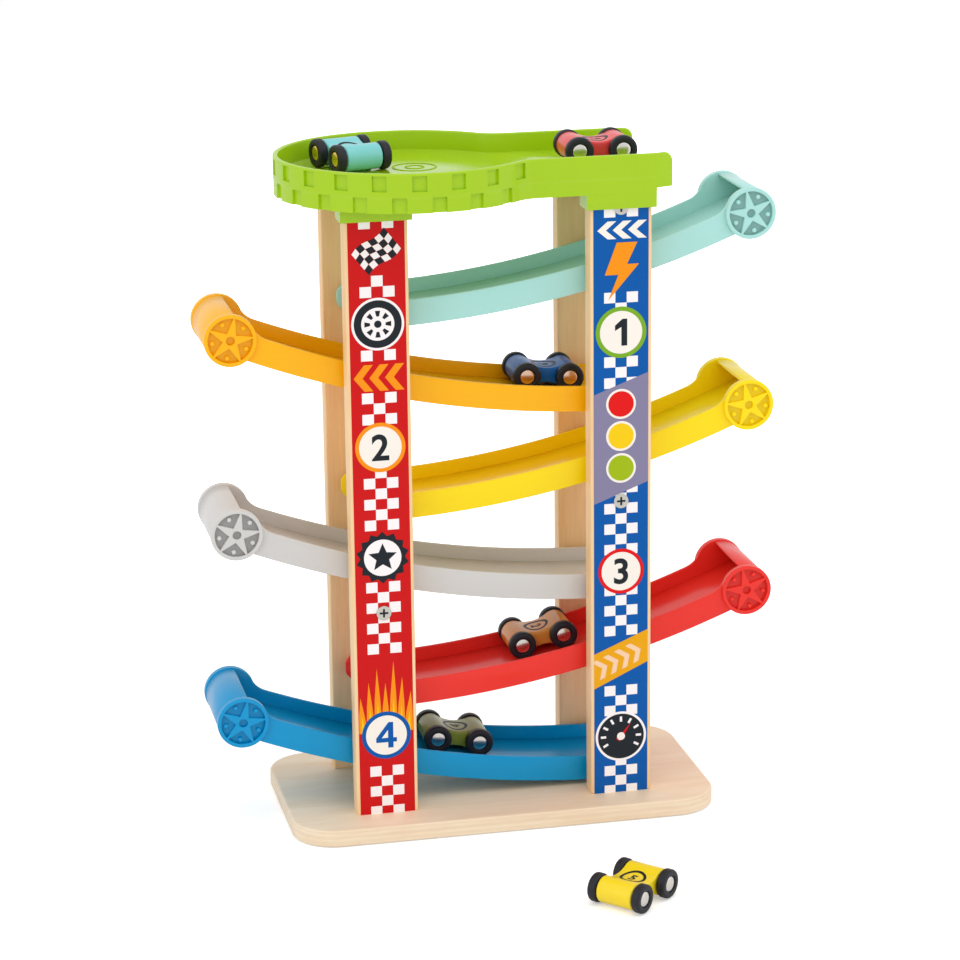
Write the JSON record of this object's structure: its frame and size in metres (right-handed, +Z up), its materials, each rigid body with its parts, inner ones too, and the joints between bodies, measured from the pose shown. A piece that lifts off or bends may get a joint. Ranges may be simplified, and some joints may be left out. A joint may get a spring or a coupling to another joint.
{
  "type": "click clack track toy",
  "caption": "Wooden ramp tower with curved plastic tracks, star drums and a dish shaped top tray, with small rolling cars",
  "frame": {"origin": "middle of the base plate's underside", "axes": "+Z up along the posts, -Y toward the printed fronts, +X to the right seen from the front"},
  "size_m": [0.3314, 0.2791, 0.3956],
  "materials": {
    "base_wood": "satin varnished birch plywood",
    "post_wood": "satin wood, printed fronts",
    "tray_green": "moulded, soft gloss",
    "mint_plastic": "moulded, gloss",
    "orange_plastic": "moulded, gloss",
    "yellow_plastic": "moulded, gloss",
    "white_plastic": "moulded, gloss",
    "red_plastic": "moulded, gloss",
    "blue_plastic": "moulded, gloss",
    "bar_wood": "turned beech",
    "screw_steel": "zinc plated",
    "teal_paint": "gloss paint on wood",
    "coral_paint": "gloss paint on wood",
    "navy_paint": "gloss paint on wood",
    "ochre_paint": "gloss paint on wood",
    "olive_paint": "gloss paint on wood",
    "lemon_paint": "gloss paint on wood",
    "wheel_black": "moulded, satin",
    "hub_steel": "plated heads",
    "hub_brass": "plated heads",
    "hub_copper": "plated heads"
  },
  "bodies": {
    "root": {"base_plate": "base_wood", "front_left_post": "post_wood", "front_right_post": "post_wood", "rear_left_post": "post_wood", "rear_right_post": "post_wood", "top_tray": "tray_green", "mint_track": "mint_plastic", "orange_track": "orange_plastic", "yellow_track": "yellow_plastic", "white_track": "white_plastic", "red_track": "red_plastic", "blue_track": "blue_plastic", "upper_left_bar": "bar_wood", "upper_right_bar": "bar_wood", "lower_left_bar": "bar_wood", "middle_right_bar": "bar_wood", "front_screws": "screw_steel", "rear_screws": "screw_steel", "base_screws": "screw_steel"},
    "teal_car": {"teal_car_body": "teal_paint"},
    "teal_front_wheelset": {"teal_front_axle": "hub_brass", "teal_front_wheels": "wheel_black"},
    "teal_rear_wheelset": {"teal_rear_axle": "hub_brass", "teal_rear_wheels": "wheel_black"},
    "red_car": {"red_car_body": "coral_paint"},
    "red_front_wheelset": {"red_front_axle": "hub_steel", "red_front_wheels": "wheel_black"},
    "red_rear_wheelset": {"red_rear_axle": "hub_steel", "red_rear_wheels": "wheel_black"},
    "dark_blue_car": {"dark_blue_car_body": "navy_paint"},
    "dark_blue_front_wheelset": {"dark_blue_front_axle": "hub_copper", "dark_blue_front_wheels": "wheel_black"},
    "dark_blue_rear_wheelset": {"dark_blue_rear_axle": "hub_copper", "dark_blue_rear_wheels": "wheel_black"},
    "ochre_car": {"ochre_car_body": "ochre_paint"},
    "ochre_front_wheelset": {"ochre_front_axle": "hub_steel", "ochre_front_wheels": "wheel_black"},
    "ochre_rear_wheelset": {"ochre_rear_axle": "hub_steel", "ochre_rear_wheels": "wheel_black"},
    "olive_car": {"olive_car_body": "olive_paint"},
    "olive_front_wheelset": {"olive_front_axle": "hub_steel", "olive_front_wheels": "wheel_black"},
    "olive_rear_wheelset": {"olive_rear_axle": "hub_steel", "olive_rear_wheels": "wheel_black"},
    "yellow_car": {"yellow_car_body": "lemon_paint"},
    "yellow_front_wheelset": {"yellow_front_axle": "hub_steel", "yellow_front_wheels": "wheel_black"},
    "yellow_rear_wheelset": {"yellow_rear_axle": "hub_steel", "yellow_rear_wheels": "wheel_black"}
  },
  "joints": [
    {"name": "teal_travel", "type": "slide", "parent": "root", "child": "teal_car", "axis": [-0.284, 0.9588, 0], "range_m": [-0.025, 0.0015]},
    {"name": "teal_front_spin", "type": "hinge", "parent": "teal_car", "child": "teal_front_wheelset", "pos_m": [-0.06638, 0.01978, 0.3844], "axis": [-0.9588, -0.284, 0], "continuous": true},
    {"name": "teal_rear_spin", "type": "hinge", "parent": "teal_car", "child": "teal_rear_wheelset", "pos_m": [-0.07362, 0.04423, 0.3844], "axis": [-0.9588, -0.284, 0], "continuous": true},
    {"name": "red_travel", "type": "slide", "parent": "root", "child": "red_car", "axis": [1, 0, 0], "range_m": [-0.025, 0.011]},
    {"name": "red_front_spin", "type": "hinge", "parent": "red_car", "child": "red_front_wheelset", "pos_m": [0.05375, 0, 0.3874], "axis": [0, 1, 0], "continuous": true},
    {"name": "red_rear_spin", "type": "hinge", "parent": "red_car", "child": "red_rear_wheelset", "pos_m": [0.07925, 0, 0.3874], "axis": [0, 1, 0], "continuous": true},
    {"name": "dark_blue_travel", "type": "hinge", "parent": "root", "child": "dark_blue_car", "pos_m": [0.0779, 0, 0.82615], "axis": [0, 1, 0], "range_deg": [-2.46, 16.61]},
    {"name": "dark_blue_front_spin", "type": "hinge", "parent": "dark_blue_car", "child": "dark_blue_front_wheelset", "pos_m": [0.04942, 0.008, 0.25425], "axis": [0, 1, 0], "continuous": true},
    {"name": "dark_blue_rear_spin", "type": "hinge", "parent": "dark_blue_car", "child": "dark_blue_rear_wheelset", "pos_m": [0.02398, 0.008, 0.25609], "axis": [0, 1, 0], "continuous": true},
    {"name": "ochre_travel", "type": "hinge", "parent": "root", "child": "ochre_car", "pos_m": [-0.0779, 0, 0.65676], "axis": [0, 1, 0], "range_deg": [-9.62, 9.45]},
    {"name": "ochre_front_spin", "type": "hinge", "parent": "ochre_car", "child": "ochre_front_wheelset", "pos_m": [0.01999, 0.008, 0.09259], "axis": [0, 1, 0], "continuous": true},
    {"name": "ochre_rear_spin", "type": "hinge", "parent": "ochre_car", "child": "ochre_rear_wheelset", "pos_m": [0.04501, 0.008, 0.09751], "axis": [0, 1, 0], "continuous": true},
    {"name": "olive_travel", "type": "hinge", "parent": "root", "child": "olive_car", "pos_m": [0.0779, 0, 0.6003], "axis": [0, 1, 0], "range_deg": [-8.12, 10.94]},
    {"name": "olive_front_spin", "type": "hinge", "parent": "olive_car", "child": "olive_front_wheelset", "pos_m": [-0.00694, 0.008, 0.03402], "axis": [0, 1, 0], "continuous": true},
    {"name": "olive_rear_spin", "type": "hinge", "parent": "olive_car", "child": "olive_rear_wheelset", "pos_m": [-0.03206, 0.008, 0.03836], "axis": [0, 1, 0], "continuous": true},
    {"name": "yellow_travel", "type": "slide", "parent": "root", "child": "yellow_car", "axis": [0.7431, 0.6691, 0], "range_m": [-0.02, 0.04]},
    {"name": "yellow_front_spin", "type": "hinge", "parent": "yellow_car", "child": "yellow_front_wheelset", "pos_m": [0.03213, -0.18673, 0.0082], "axis": [-0.6691, 0.7431, 0], "continuous": true},
    {"name": "yellow_rear_spin", "type": "hinge", "parent": "yellow_car", "child": "yellow_rear_wheelset", "pos_m": [0.05108, -0.16967, 0.0082], "axis": [-0.6691, 0.7431, 0], "continuous": true}
  ]
}
